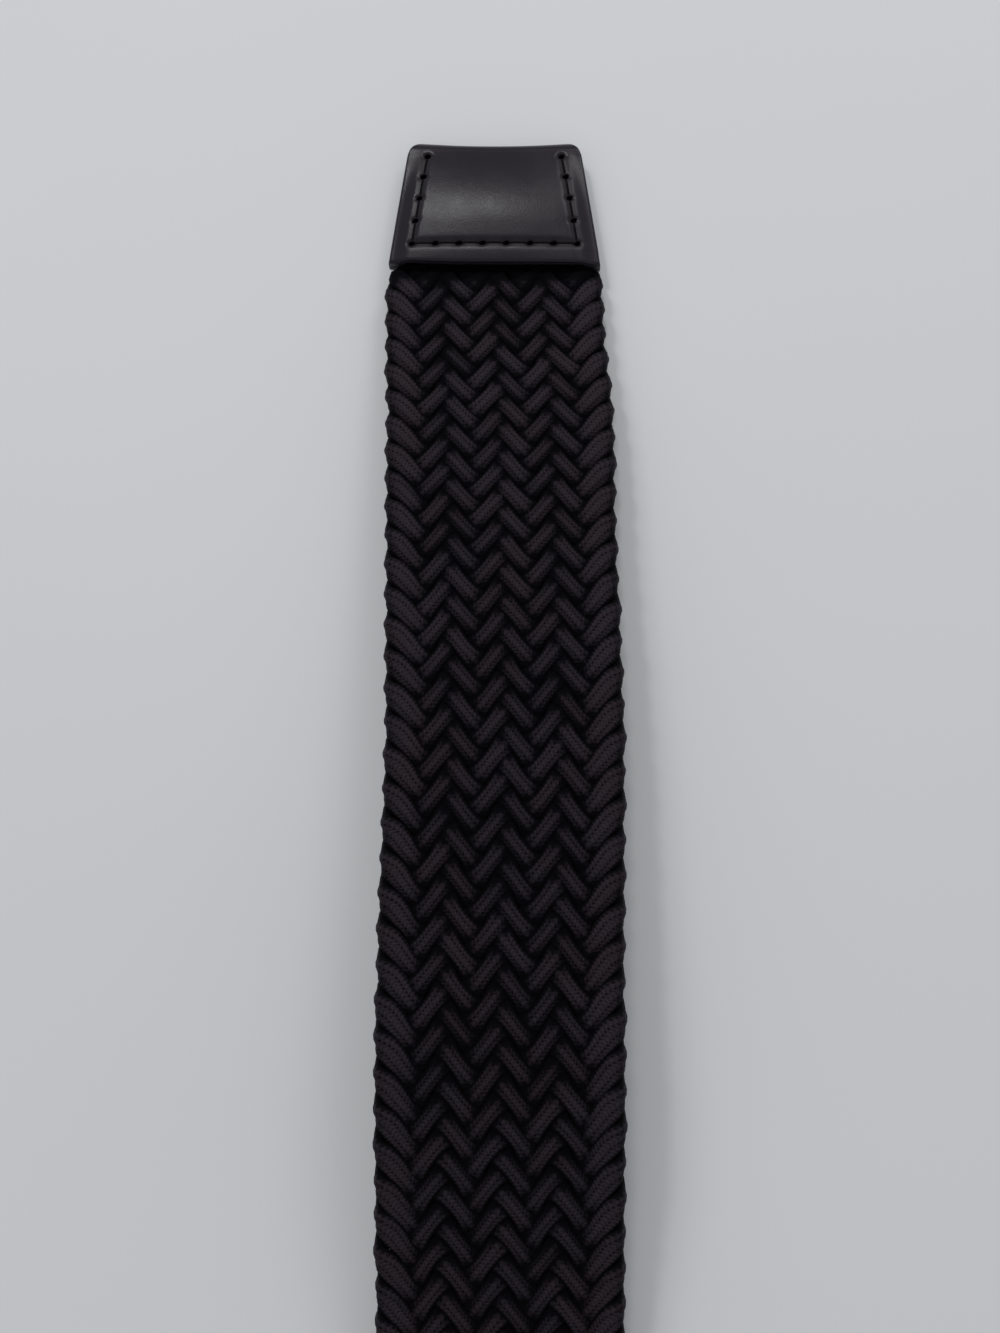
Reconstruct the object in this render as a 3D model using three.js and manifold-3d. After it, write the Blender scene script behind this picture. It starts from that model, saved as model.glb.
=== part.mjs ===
// Braided stretch belt with a stitched leather tip and a frame buckle, laid out on a flat surface.
// Millimetres, +Z up, +Y towards the leather tip, +X across the belt. The origin is on the surface,
// half way along the belt and in the middle of its width.
import * as THREE from 'three';
import { mergeVertices } from 'three/addons/utils/BufferGeometryUtils.js';
import Module from 'manifold-3d';

const wasm = await Module();
wasm.setup();

// Whole belt
const beltLength = 1000; // the tip's end to the buckle's far side, unstretched
const fitGap = 0.3; // between a piece and the one that it holds or wraps

// Leather
const leatherWall = 1.1; // one layer of the folded leather
const seamMargin = 2.6; // stitched border, where the two layers meet
const seamThickness = 3.2; // both layers, measured at the painted edge
const pocketDepth = 15; // how far the plait goes into the leather, at both ends

// Plait
const braidWidth = 35;
const braidThickness = 4.5;
const ribCount = 8; // columns of the plait, the same on both faces
const ribCrest = 0.5; // flat top of a rib, as a share of its width
const ribGroove = 0.6; // depth of the valley between two ribs
const edgeRound = 1.1; // how far the plait's edge is rounded off, above and below
const pressedThickness = 2.2; // where the leather holds it
const pressedRound = 0.3;
const shoulder = 1.2; // from the leather's mouth to the full thickness

// Leather tip
const tipLength = 20.4;
const tipBaseWidth = 33.4;
const tipEndWidth = 27;
const tipCornerRadius = 2.2;
const tipCrown = 0.5; // how far the middle of its panel stands above the border's inner line
const tipFold = 3.6; // thickness just behind the fold

// Lie of the plait behind the tip
const archLength = 216; // from the tip's mouth to where the plait is flat again
const archHeight = 13; // underside at the highest place
const swayWidth = 0.87; // widest departure of the middle line from straight, and the tip's own

// Buckle
const frameLength = 40; // along the belt
const frameWidth = 48;
const frameBar = 4.6; // width of the frame's bars, seen from above
const frameThickness = 4.6;
const frameCorner = 7;
const frameEase = 0.7; // rounding of the frame's long edges
const hingeBarRadius = 1.5; // the bar that the leather wraps
const prongWidth = 3.4;
const prongThickness = 2.2;
const prongEyeRadius = 2.7;
const fused = 0.1; // overlap of the buckle's parts, which are one metal

// Leather tab
const tabLength = 46; // from the middle of the hinge bar to the mouth
const tabWidth = 33.4;
const tabSideGap = 1.2; // between the tab and the frame, on each side
const slotLength = 9; // the prong's slot, from the middle of the hinge bar
const slotGap = 0.8; // on each side of the prong

// Places that follow from the sizes
const tipEndY = beltLength / 2;
const tipMouthY = tipEndY - tipLength;
const tipMiddleX = -swayWidth;
const buckleFarY = -beltLength / 2;
const buckleNearY = buckleFarY + frameLength;
const hingeBarY = buckleNearY - frameBar / 2;
const tabMouthY = hingeBarY + tabLength;
const pocketHeight = pressedThickness + 2 * fitGap;
const leatherThickness = pocketHeight + 2 * leatherWall;
const foldRadius = hingeBarRadius + fitGap + leatherWall;
const seamLift = (leatherThickness - seamThickness) / 3; // the border hangs below the middle of the panel

// The lie of the plait from the tip's mouth, as shares of archLength, archHeight, swayWidth and braidWidth
const lie = [
  { along: 0.00, lift: 0.00, sway: -1.0, width: 0.972 },
  { along: 0.06, lift: 0.13, sway: -0.8, width: 0.985 },
  { along: 0.11, lift: 0.26, sway: 0.0, width: 1 },
  { along: 0.18, lift: 0.39, sway: 0.1, width: 1 },
  { along: 0.25, lift: 0.53, sway: 0.4, width: 1 },
  { along: 0.32, lift: 0.65, sway: 0.8, width: 1 },
  { along: 0.39, lift: 0.76, sway: 0.65, width: 1 },
  { along: 0.46, lift: 0.87, sway: 0.2, width: 1 },
  { along: 0.54, lift: 0.98, sway: 0.0, width: 1 },
  { along: 0.585, lift: 0.96, sway: 0.0, width: 1 },
  { along: 0.63, lift: 0.80, sway: 0.0, width: 1 },
  { along: 0.68, lift: 0.61, sway: 0.0, width: 1 },
  { along: 0.73, lift: 0.44, sway: 0.0, width: 1 },
  { along: 0.78, lift: 0.30, sway: 0.0, width: 1 },
  { along: 0.85, lift: 0.15, sway: 0.0, width: 1 },
  { along: 0.93, lift: 0.04, sway: 0.0, width: 1 },
  { along: 1.00, lift: 0.00, sway: 0.0, width: 1 },
];
const flatSteps = 6; // sections of the plait between the arch and the tab

// Sections of the leather tip from its end, as shares of tipLength and of the thickness there
const tipSections = [
  { along: 0.000, thick: 0.45 },
  { along: 0.015, thick: 0.75 },
  { along: 0.040, thick: 0.93 },
  { along: 0.080, thick: 1 },
  { along: 0.250, thick: 1 },
  { along: 0.600, thick: 1 },
  { along: 1.000, thick: 1 },
];
const foldShare = 0.25; // the tip reaches its full thickness at this share of its length

// The tab's fold, as angles round the hinge bar from its far side to its top
const foldAngles = [12, 30, 50, 70, 90];

const cord = { color: 0x1b191c, roughness: 0.85, metalness: 0 };
const leather = { color: 0x2e2b30, roughness: 0.5, metalness: 0 };
const steel = { color: 0x4a494d, roughness: 0.35, metalness: 1 };

// Keeps only the places of the corners, and joins the ones that coincide
function weld(geometry) {
  geometry.deleteAttribute('normal');
  geometry.deleteAttribute('uv');
  return mergeVertices(geometry, 1e-4);
}

// A closed body on a grid of columns across X, rows along Y and levels up Z.
// place(column, row, level) gives a grid point its place as [x, y, z].
function gridBody(columns, rows, levels, place) {
  const geometry = new THREE.BoxGeometry(columns, rows, levels, columns, rows, levels);
  const points = geometry.attributes.position;
  for (let i = 0; i < points.count; i += 1) {
    const column = Math.round(points.getX(i) + columns / 2);
    const row = Math.round(points.getY(i) + rows / 2);
    const level = Math.round(points.getZ(i) + levels / 2);
    points.setXYZ(i, ...place(column, row, level));
  }
  return weld(geometry);
}

function toManifold(geometry) {
  const vertProperties = new Float32Array(geometry.attributes.position.array);
  const triVerts = new Uint32Array(geometry.index.array);
  return new wasm.Manifold(new wasm.Mesh({ numProp: 3, vertProperties, triVerts }));
}

function fromManifold(solid) {
  const mesh = solid.getMesh();
  const geometry = new THREE.BufferGeometry();
  geometry.setAttribute('position', new THREE.BufferAttribute(mesh.vertProperties, 3));
  geometry.setIndex(new THREE.BufferAttribute(mesh.triVerts, 1));
  return geometry;
}

function piece(name, geometry, finish) {
  geometry.computeVertexNormals();
  const mesh = new THREE.Mesh(geometry, new THREE.MeshStandardMaterial(finish));
  mesh.name = name;
  return mesh;
}

// Plait

// The leather tip narrows evenly from its mouth to its end
function tipWidthAt(y) {
  return THREE.MathUtils.lerp(tipEndWidth, tipBaseWidth, (tipEndY - y) / tipLength);
}

// Sections of the plait from its end in the tip to its end in the tab
function braidStations() {
  const stations = [];
  const addPressed = (x, y, leatherWidth) => stations.push({
    x,
    y,
    z: leatherWall + fitGap,
    width: leatherWidth - 2 * (seamMargin + fitGap),
    thickness: pressedThickness,
    groove: 0,
    round: pressedRound,
  });
  const addFull = (x, y, z, width) => stations.push({
    x,
    y,
    z,
    width,
    thickness: braidThickness,
    groove: ribGroove,
    round: edgeRound,
  });

  const endY = tipMouthY + pocketDepth - fitGap;
  addPressed(tipMiddleX, endY, tipWidthAt(endY));
  addPressed(tipMiddleX, tipMouthY - fitGap, tipBaseWidth);

  const path = new THREE.CatmullRomCurve3(lie.map((row) => new THREE.Vector3(
    row.sway * swayWidth,
    tipMouthY - shoulder - row.along * archLength,
    row.lift * archHeight,
  )));
  const steps = 2 * (lie.length - 1);
  for (let step = 0; step <= steps; step += 1) {
    const place = path.getPoint(step / steps);
    const share = (lie[Math.floor(step / 2)].width + lie[Math.ceil(step / 2)].width) / 2;
    addFull(place.x, place.y, Math.max(0, place.z), share * braidWidth);
  }

  const flatStart = stations[stations.length - 1].y;
  for (let step = 1; step <= flatSteps; step += 1) {
    const y = THREE.MathUtils.lerp(flatStart, tabMouthY + shoulder, step / flatSteps);
    addFull(0, y, 0, braidWidth);
  }
  addPressed(0, tabMouthY + fitGap, tabWidth);
  addPressed(0, tabMouthY - pocketDepth + fitGap, tabWidth);
  return stations;
}

// Each rib has three columns of points on both faces: its valley and the two sides of its crest
function braid() {
  const stations = braidStations();
  const ribPlaces = [0, (1 - ribCrest) / 2, (1 + ribCrest) / 2];
  const columns = ribCount * ribPlaces.length;
  return gridBody(columns, stations.length - 1, 2, (column, row, level) => {
    const station = stations[stations.length - 1 - row];
    const rib = Math.floor(column / ribPlaces.length);
    const phase = column % ribPlaces.length;
    const edge = column === 0 ? -1 : Number(column === columns);
    const face = level - 1;
    const groove = phase ? 0 : station.groove;
    const sunk = edge ? station.round : groove;
    const inset = edge * Math.abs(face) * station.round / 3;
    const across = (rib + ribPlaces[phase]) / ribCount - 0.5;
    return [
      station.x + across * station.width - inset,
      station.y,
      station.z + station.thickness / 2 + face * (station.thickness / 2 - sunk),
    ];
  });
}

// Leather pieces

// One point of a leather section. Its five columns are the two painted edges, the border's two
// inner lines and the middle. border is 1 where the layers are sewn together along the edges.
function leatherPoint(column, level, section) {
  const step = column - 2;
  const halfWidths = [0, section.halfWidth - seamMargin, section.halfWidth];
  const x = section.x + Math.sign(step) * halfWidths[Math.abs(step)];
  const crown = step ? 0 : section.crown;
  if (Math.abs(step) < 2 || !section.border) {
    return [x, section.y, section.z + level * (section.thickness + crown)];
  }
  const thickness = Math.min(seamThickness, section.thickness);
  const lift = Math.min(seamLift, section.thickness - thickness);
  return [x, section.y, section.z + lift + level * thickness];
}

// How far a rounded corner takes off each side of the tip at y
function tipCornerInset(y) {
  const left = Math.max(0, tipCornerRadius - (tipEndY - y));
  return tipCornerRadius - Math.sqrt(tipCornerRadius ** 2 - left ** 2);
}

function tipLeather() {
  const sections = tipSections.map(({ along, thick }) => {
    const y = tipEndY - along * tipLength;
    const opened = THREE.MathUtils.smoothstep(along, 0, foldShare);
    const full = THREE.MathUtils.lerp(tipFold, leatherThickness, opened);
    return {
      x: tipMiddleX,
      y,
      z: full * (1 - thick) / 2,
      halfWidth: tipWidthAt(y) / 2 - tipCornerInset(y),
      thickness: full * thick,
      crown: tipCrown * opened,
      border: 1,
    };
  }).reverse();
  const outer = gridBody(4, sections.length - 1, 1, (column, row, level) => (
    leatherPoint(column, level, sections[row])
  ));
  const pocket = gridBody(1, 1, 1, (column, row, level) => {
    const y = row ? tipMouthY + pocketDepth : tipMouthY - shoulder;
    const halfWidth = tipWidthAt(y) / 2 - seamMargin;
    return [tipMiddleX + (column * 2 - 1) * halfWidth, y, leatherWall + level * pocketHeight];
  });
  return fromManifold(toManifold(outer).subtract(toManifold(pocket)));
}

function tabLeather() {
  const folded = foldAngles.map((degrees) => {
    const angle = THREE.MathUtils.degToRad(degrees);
    return {
      y: hingeBarY - foldRadius * Math.cos(angle),
      z: foldRadius * (1 - Math.sin(angle)),
      thickness: 2 * foldRadius * Math.sin(angle),
      border: 0,
    };
  });
  const sewn = [hingeBarY + 2 * foldRadius, tabMouthY].map((y) => (
    { y, z: 0, thickness: leatherThickness, border: 1 }
  ));
  const sections = [...folded, ...sewn].map((section) => (
    { ...section, x: 0, halfWidth: tabWidth / 2, crown: 0 }
  ));
  const outer = gridBody(4, sections.length - 1, 1, (column, row, level) => (
    leatherPoint(column, level, sections[row])
  ));
  const tunnel = barAcross(hingeBarRadius + fitGap, frameWidth, 16);
  const pocket = gridBody(1, 1, 1, (column, row, level) => [
    (column * 2 - 1) * (tabWidth / 2 - seamMargin),
    row ? tabMouthY + shoulder : tabMouthY - pocketDepth,
    leatherWall + level * pocketHeight,
  ]);
  return fromManifold(toManifold(outer)
    .subtract(toManifold(tunnel))
    .subtract(toManifold(pocket))
    .subtract(toManifold(prongSlot())));
}

// A slot with a round end, through both layers of the fold
function prongSlot() {
  const radius = prongWidth / 2 + slotGap;
  const farY = hingeBarY - 2 * foldRadius;
  const roundY = hingeBarY + slotLength - radius;
  const outline = new THREE.Shape();
  outline.moveTo(-radius, farY);
  outline.lineTo(radius, farY);
  outline.absarc(0, roundY, radius, 0, Math.PI, false);
  const depth = 4 * foldRadius;
  const slot = new THREE.ExtrudeGeometry(outline, { depth, bevelEnabled: false, curveSegments: 6 });
  slot.translate(0, 0, -foldRadius);
  return weld(slot);
}

// Buckle

// A round bar on the hinge line, which lies inside the tab's fold
function barAcross(radius, length, sides) {
  const bar = new THREE.CylinderGeometry(radius, radius, length, sides);
  bar.rotateZ(Math.PI / 2);
  bar.translate(0, hingeBarY, foldRadius);
  return weld(bar);
}

function roundedRectangle(path, middleY, halfWidth, halfLength, radius) {
  const x = halfWidth - radius;
  const y = halfLength - radius;
  path.absarc(x, middleY + y, radius, 0, Math.PI / 2, false);
  path.absarc(-x, middleY + y, radius, Math.PI / 2, Math.PI, false);
  path.absarc(-x, middleY - y, radius, Math.PI, 1.5 * Math.PI, false);
  path.absarc(x, middleY - y, radius, 1.5 * Math.PI, 2 * Math.PI, false);
  return path;
}

// The frame with eased edges, cut through its near side where the tab's fold sits
function frame() {
  const middleY = (buckleFarY + buckleNearY) / 2;
  const eased = (size) => size / 2 - frameEase;
  const outline = roundedRectangle(
    new THREE.Shape(),
    middleY,
    eased(frameWidth),
    eased(frameLength),
    frameCorner - frameEase,
  );
  outline.holes.push(roundedRectangle(
    new THREE.Path(),
    middleY,
    frameWidth / 2 - frameBar + frameEase,
    frameLength / 2 - frameBar + frameEase,
    frameCorner - frameBar + frameEase,
  ));
  const ring = new THREE.ExtrudeGeometry(outline, {
    depth: frameThickness - 2 * frameEase,
    bevelThickness: frameEase,
    bevelSize: frameEase,
    bevelSegments: 2,
    curveSegments: 5,
  });
  ring.translate(0, 0, frameEase);
  const gapLength = 4 * frameBar;
  const gap = new THREE.BoxGeometry(tabWidth + 2 * tabSideGap, gapLength, 3 * frameThickness);
  gap.translate(0, hingeBarY - frameBar + gapLength / 2, 0);
  return toManifold(weld(ring)).subtract(toManifold(weld(gap)));
}

// The prong's side view, an eye round the hinge bar and a strip that lies on the far bar,
// is drawn with the belt's Y across and its Z up, and then turned to stand along the belt
function prong() {
  const underside = frameThickness - fused;
  const top = underside + prongThickness;
  const bendY = hingeBarY - 3 * prongEyeRadius;
  const endY = buckleFarY + frameEase;
  const side = new THREE.Shape();
  side.absarc(hingeBarY, foldRadius, prongEyeRadius, Math.PI, 2.5 * Math.PI, false);
  side.lineTo(bendY, top);
  side.lineTo(buckleFarY + frameBar, top);
  side.lineTo(endY, underside + prongThickness / 2);
  side.lineTo(endY, underside);
  side.lineTo(bendY, underside);
  const strip = new THREE.ExtrudeGeometry(side, {
    depth: prongWidth,
    bevelEnabled: false,
    curveSegments: 10,
  });
  strip.translate(0, 0, -prongWidth / 2);
  strip.applyMatrix4(new THREE.Matrix4().makeBasis(
    new THREE.Vector3(0, 1, 0),
    new THREE.Vector3(0, 0, 1),
    new THREE.Vector3(1, 0, 0),
  ));
  return toManifold(weld(strip));
}

function buckle() {
  const hingeBar = barAcross(hingeBarRadius, frameWidth - frameBar, 12);
  return fromManifold(frame().add(toManifold(hingeBar)).add(prong()));
}

const belt = new THREE.Group();
belt.add(piece('braid', braid(), cord));
belt.add(piece('tip_leather', tipLeather(), leather));
belt.add(piece('tab_leather', tabLeather(), leather));
belt.add(piece('buckle', buckle(), steel));

export default belt;
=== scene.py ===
"""Braided stretch belt: seventeen elastic strands in a flat plait, a stitched leather tip, a leather
tab and a frame buckle, dressed over the belt's fixed frame. The sidebar of the 3D view has a Belt tab
that makes the pieces. Sizes are in metres, +Y runs along the belt to its tip, and +Z is up."""

import math
import random

import bmesh
import bpy
import numpy as np
from mathutils import Matrix, Vector


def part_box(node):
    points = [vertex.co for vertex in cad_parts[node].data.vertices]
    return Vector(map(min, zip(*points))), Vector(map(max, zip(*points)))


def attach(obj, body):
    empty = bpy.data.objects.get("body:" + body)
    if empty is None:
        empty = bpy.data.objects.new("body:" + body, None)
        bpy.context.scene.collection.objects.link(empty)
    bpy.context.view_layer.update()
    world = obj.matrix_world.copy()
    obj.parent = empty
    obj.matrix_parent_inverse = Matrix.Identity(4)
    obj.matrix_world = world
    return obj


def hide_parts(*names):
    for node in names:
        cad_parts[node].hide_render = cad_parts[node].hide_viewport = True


bl_info = {
    "name": "Braided belt",
    "version": (1, 0, 0),
    "blender": (4, 5, 0),
    "location": "View3D > Sidebar > Belt",
    "description": "Makes a braided stretch belt with a stitched leather tip, a tab and a buckle",
    "category": "Add Mesh",
}

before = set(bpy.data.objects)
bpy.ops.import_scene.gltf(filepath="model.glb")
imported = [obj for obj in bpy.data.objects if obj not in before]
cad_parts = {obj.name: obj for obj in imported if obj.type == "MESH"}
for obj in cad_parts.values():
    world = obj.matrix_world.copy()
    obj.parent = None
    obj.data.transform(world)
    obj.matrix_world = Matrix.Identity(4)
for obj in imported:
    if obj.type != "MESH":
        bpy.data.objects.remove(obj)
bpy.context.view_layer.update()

MM = 0.001
SEED = 17


def linear(code):
    """Turns an sRGB hex colour into the linear red, green and blue that Blender's sockets take."""
    shares = [int(code[i:i + 2], 16) / 255 for i in (1, 3, 5)]
    return [s / 12.92 if s <= 0.04045 else ((s + 0.055) / 1.055) ** 2.4 for s in shares]


def length(name, description, millimetres):
    """A length setting, kept in metres."""
    return bpy.props.FloatProperty(
        name=name, description=description, default=millimetres * MM, min=0, unit="LENGTH")


def colour(name, description, code):
    """A colour setting, from an sRGB hex code."""
    return bpy.props.FloatVectorProperty(
        name=name, description=description, default=linear(code), min=0, max=1, subtype="COLOR")


def share(name, description, value):
    """A setting that runs from 0 to 1."""
    return bpy.props.FloatProperty(
        name=name, description=description, default=value, min=0, max=1, subtype="FACTOR")


# Settings


class PlaitSettings(bpy.types.PropertyGroup):
    """Sizes and colours of the plait's strands."""

    strand_width: length("Strand width", "Width of one flat strand", 3.3)
    strand_thickness: length("Strand thickness", "Thickness of one flat strand", 2.15)
    rise: length("Rise", "From the plait's middle height to a strand's where it is on top", 1.2)
    edge_inset: length("Edge inset", "From the plait's edge to a strand's middle as it turns", 1.3)
    rib_pitch: length("Rib pitch", "Spacing of the slanted ribs on a strand", 0.58)
    cord_colour: colour("Cord colour", "Colour of the cord's raised ribs", "#302a32")
    # Painted shade: the near black that the cord's colour runs to in its pits, between its ribs and
    # deep between the strands
    shade_colour: colour("Shade colour", "Colour between the cord's ribs", "#030205")
    warm_colour: colour("Warm colour", "Colour of the strands that look a little browner", "#32292d")


class LeatherSettings(bpy.types.PropertyGroup):
    """Sizes and colours of the leather tip and tab."""

    wall: length("Wall", "Thickness of one layer of leather", 1.1)
    grain_size: length("Grain size", "Width of one pebble of the leather's grain", 0.3)
    stitch_inset: length("Stitch inset", "From the leather's side edges to the stitches", 3.3)
    mouth_inset: length("Mouth inset", "From the leather's mouth to the stitches", 2.7)
    stitch_pitch: length("Stitch pitch", "Spacing of the stitch holes", 3.75)
    thread_radius: length("Thread radius", "Radius of the sewing thread", 0.2)
    leather_colour: colour("Leather colour", "Colour of the leather's face", "#160f18")
    edge_colour: colour("Edge colour", "Colour of the leather's painted edges", "#27222a")
    # Also the colour that the painted shade in the stitches' grooves and dimples runs to
    thread_colour: colour("Thread colour", "Colour of the sewing thread", "#070608")


class BuckleSettings(bpy.types.PropertyGroup):
    """Sizes and colours of the buckle."""

    bar_width: length("Bar width", "Width of the frame's bars, seen from above", 4.6)
    corner_radius: length("Corner radius", "Radius of the frame's outer corners", 7.0)
    prong_width: length("Prong width", "Width of the prong", 3.4)
    metal_colour: colour("Metal colour", "Colour of the buckle's plating", "#67656a")


class StageSettings(bpy.types.PropertyGroup):
    """The floor, the lights and the camera."""

    floor_colour: colour("Floor colour", "Colour of the painted floor", "#cbcdce")
    key_power: bpy.props.FloatProperty(
        name="Key power", description="Strength of the main light", default=3.36, min=0, unit="POWER")
    fill_strength: share("Fill strength", "Brightness of the even light from all round", 0.5)
    camera_tilt: bpy.props.FloatProperty(
        name="Camera tilt", description="How far the camera leans back from looking straight down",
        default=math.radians(7), min=0, max=math.radians(90), subtype="ANGLE")
    camera_distance: length("Camera distance", "From the camera to the floor along its axis", 232)
    camera_place: length("Camera place", "Where the camera's axis meets the floor, along the belt", 416)
    camera_lens: bpy.props.FloatProperty(
        name="Lens", description="Focal length in millimetres", default=40.5, min=1)


# Small tools that the pieces share


def smooth_step(x):
    """0 below 0, 1 above 1, and a smooth rise between them."""
    x = np.clip(x, 0, 1)
    return x * x * (3 - 2 * x)


def link_new(name, data):
    """A new object in the scene."""
    made = bpy.data.objects.new(name, data)
    bpy.context.scene.collection.objects.link(made)
    return made


def new_mesh(name, bm):
    """Turns a finished bmesh into a mesh."""
    mesh = bpy.data.meshes.new(name)
    bm.to_mesh(mesh)
    bm.free()
    return mesh


def take_result(made, *helpers):
    """Keeps what an object's modifiers or curve settings make of it, as a mesh, and deletes the
    object and its helpers together with their data."""
    bpy.context.view_layer.update()
    graph = bpy.context.evaluated_depsgraph_get()
    mesh = bpy.data.meshes.new_from_object(made.evaluated_get(graph))
    for leftover in (made, *helpers):
        data = leftover.data
        bpy.data.objects.remove(leftover)
        if isinstance(data, bpy.types.Mesh):
            bpy.data.meshes.remove(data)
        else:
            bpy.data.curves.remove(data)
    return mesh


def add_piece(name, mesh, slot, stands_for, *materials):
    """Puts a finished mesh in the scene as a piece that rides on the belt's one body."""
    mesh.name = name
    for finish in materials:
        mesh.materials.append(finish)
    mesh.polygons.foreach_set("use_smooth", np.ones(len(mesh.polygons), bool))
    piece = link_new(name, mesh)
    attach(piece, "root")
    if stands_for:
        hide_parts(stands_for)


def extrude(bm, way):
    """Turns a flat outline into a closed block that reaches a way from it."""
    made = bmesh.ops.extrude_face_region(bm, geom=bm.faces[:])["geom"]
    corners = [v for v in made if isinstance(v, bmesh.types.BMVert)]
    bmesh.ops.translate(bm, verts=corners, vec=way)
    bmesh.ops.recalc_face_normals(bm, faces=bm.faces)
    bm.normal_update()


def close_mesh(mesh, near):
    """Joins the corners that lie that near each other and turns every face outwards."""
    bm = bmesh.new()
    bm.from_mesh(mesh)
    bmesh.ops.remove_doubles(bm, verts=bm.verts, dist=near)
    bmesh.ops.recalc_face_normals(bm, faces=bm.faces)
    bm.to_mesh(mesh)
    bm.free()
    return mesh


def curve_object(name, points, flat, cyclic=False, tilts=None, radii=None):
    """A curve through points, with straight runs between them. A flat one serves as a section."""
    data = bpy.data.curves.new(name, "CURVE")
    data.dimensions = "2D" if flat else "3D"
    spline = data.splines.new("POLY")
    spline.points.add(len(points) - 1)
    places = np.ones((len(points), 4))
    places[:, :len(points[0])] = points
    if flat:
        places[:, 2] = 0
    spline.points.foreach_set("co", places.ravel())
    if tilts is not None:
        spline.points.foreach_set("tilt", tilts)
    if radii is not None:
        spline.points.foreach_set("radius", radii)
    spline.use_cyclic_u = cyclic
    return link_new(name, data)


def sweep(name, points, section, tilts=None, radii=None):
    """Carries a closed section along points, as a tube with closed ends and an own UV map:
    the share of the way round, and the metres along."""
    outline = curve_object(name + "_section", section, flat=True, cyclic=True)
    path = curve_object(name + "_path", points, flat=False, tilts=tilts, radii=radii)
    path.data.twist_mode = "Z_UP"
    path.data.bevel_mode = "OBJECT"
    path.data.bevel_object = outline
    path.data.use_fill_caps = True
    mesh = take_result(path, outline)

    steps = np.linalg.norm(np.diff(points, axis=0), axis=1)
    metres = np.concatenate([[0], np.cumsum(steps)])
    corner = np.zeros(len(mesh.loops), np.int64)
    mesh.loops.foreach_get("vertex_index", corner)
    # The two caps come first, with a ring of corners each
    ring = np.clip(corner // len(section) - 2, 0, len(points) - 1)
    own = mesh.uv_layers[0]
    uv = np.zeros(2 * len(mesh.loops))
    own.data.foreach_get("uv", uv)
    uv = np.stack([uv.reshape(-1, 2)[:, 1], metres[ring]], axis=1)
    own.data.foreach_set("uv", uv.ravel())
    own.name = "along_strand"
    return close_mesh(mesh, near=0.001 * MM)


def add_mark(mesh, name, values):
    """Gives each corner of a mesh a number that its material reads."""
    mesh.attributes.new(name, "FLOAT", "POINT").data.foreach_set("value", values)


def grid_slab(columns, rows, place):
    """A closed slab on a grid of columns and rows. place takes three arrays of shares, from 0 to 1
    across, along and up, and gives every corner's x, y and z and the painted shade of its colour. The
    slab's four narrow sides take the piece's second material."""
    bm = bmesh.new()
    bmesh.ops.create_cube(bm, size=1, matrix=Matrix.Translation((0.5, 0.5, 0.5)))
    for axis, cuts in enumerate((columns - 1, rows - 1)):
        along = [e for e in bm.edges if abs((e.verts[0].co - e.verts[1].co)[axis]) > 0.5]
        bmesh.ops.subdivide_edges(bm, edges=along, cuts=cuts, use_grid_fill=True)
    for face in bm.faces:
        face.material_index = int(abs(face.normal.z) < 0.5)
    mesh = new_mesh("slab", bm)
    shares = np.zeros(3 * len(mesh.vertices))
    mesh.vertices.foreach_get("co", shares)
    *places, painted_shade = place(*shares.reshape(-1, 3).T)
    mesh.vertices.foreach_set("co", np.stack(places, axis=1).ravel())
    # Painted shade, which the leather's colour reads
    add_mark(mesh, "painted_shade", painted_shade)
    return close_mesh(mesh, near=0.0001 * MM)


# Finishes

STRAND_GIRTH = 8.7 * MM
# From the middle of a strand's face to its first row of pits, and from row to row, as shares of
# the girth
PIT_ROW = 0.0625
PIT_ROW_SPACING = 0.0975


def node(material, kind, settings=(), inputs=()):
    """Adds a shader node of a kind, with its own settings, and with numbers or links in its
    sockets. A node among the inputs is linked by its first output."""
    tree = material.node_tree
    made = tree.nodes.new("ShaderNode" + kind)
    for name, value in dict(settings).items():
        setattr(made, name, value)
    for socket, value in dict(inputs).items():
        if isinstance(value, bpy.types.Node):
            value = value.outputs[0]
        if isinstance(value, bpy.types.NodeSocket):
            tree.links.new(value, made.inputs[socket])
        else:
            made.inputs[socket].default_value = value
    return made


def new_material(name):
    """An empty node material."""
    material = bpy.data.materials.new(name)
    material.use_nodes = True
    material.node_tree.nodes.clear()
    return material


def finish_material(material, inputs):
    """Closes a material with its shader."""
    shader = node(material, "BsdfPrincipled", inputs=inputs)
    node(material, "OutputMaterial", inputs={"Surface": shader.outputs["BSDF"]})
    return material


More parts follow.
